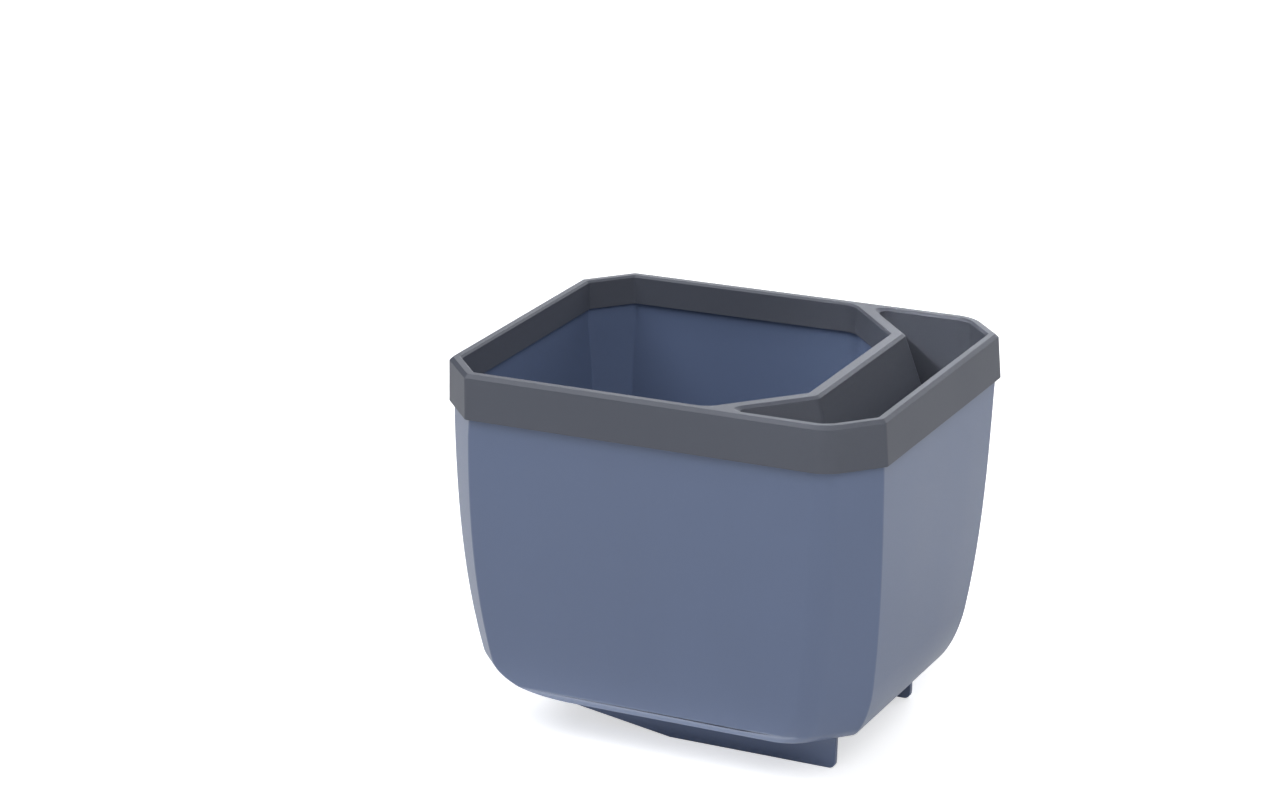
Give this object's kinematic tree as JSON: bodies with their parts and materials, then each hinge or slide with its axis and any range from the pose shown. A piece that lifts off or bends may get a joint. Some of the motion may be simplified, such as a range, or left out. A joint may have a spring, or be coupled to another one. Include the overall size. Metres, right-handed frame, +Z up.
{
  "type": "indoor herb planter",
  "caption": "Rocking herb planter: pot on runners with level and slanting feet, a lift-off collar with a C-shaped side tank, a wick and a felt mat.",
  "frame": {"origin": "middle of the collar's outline, on the plane of the level feet that it stands on", "axes": "+X towards the end with the water tank, +Y across the pot towards its far long side, +Z up"},
  "size_m": [0.1864, 0.1414, 0.153],
  "materials": {
    "pot_plastic": "satin moulded plastic",
    "collar_plastic": "satin moulded plastic",
    "mat_felt": "needle felt",
    "wick_felt": "needle felt"
  },
  "bodies": {
    "pot": {"pot_body": "pot_plastic", "wick": "wick_felt"},
    "collar": {"collar_tank": "collar_plastic"},
    "mat": {"felt_mat": "mat_felt"}
  },
  "joints": [
    {"name": "collar_lift", "type": "slide", "parent": "pot", "child": "collar", "axis": [0, 0, 1], "range_m": [0, 0.115]},
    {"name": "mat_lift", "type": "slide", "parent": "pot", "child": "mat", "axis": [0, 0, 1], "range_m": [0, 0.145]}
  ]
}
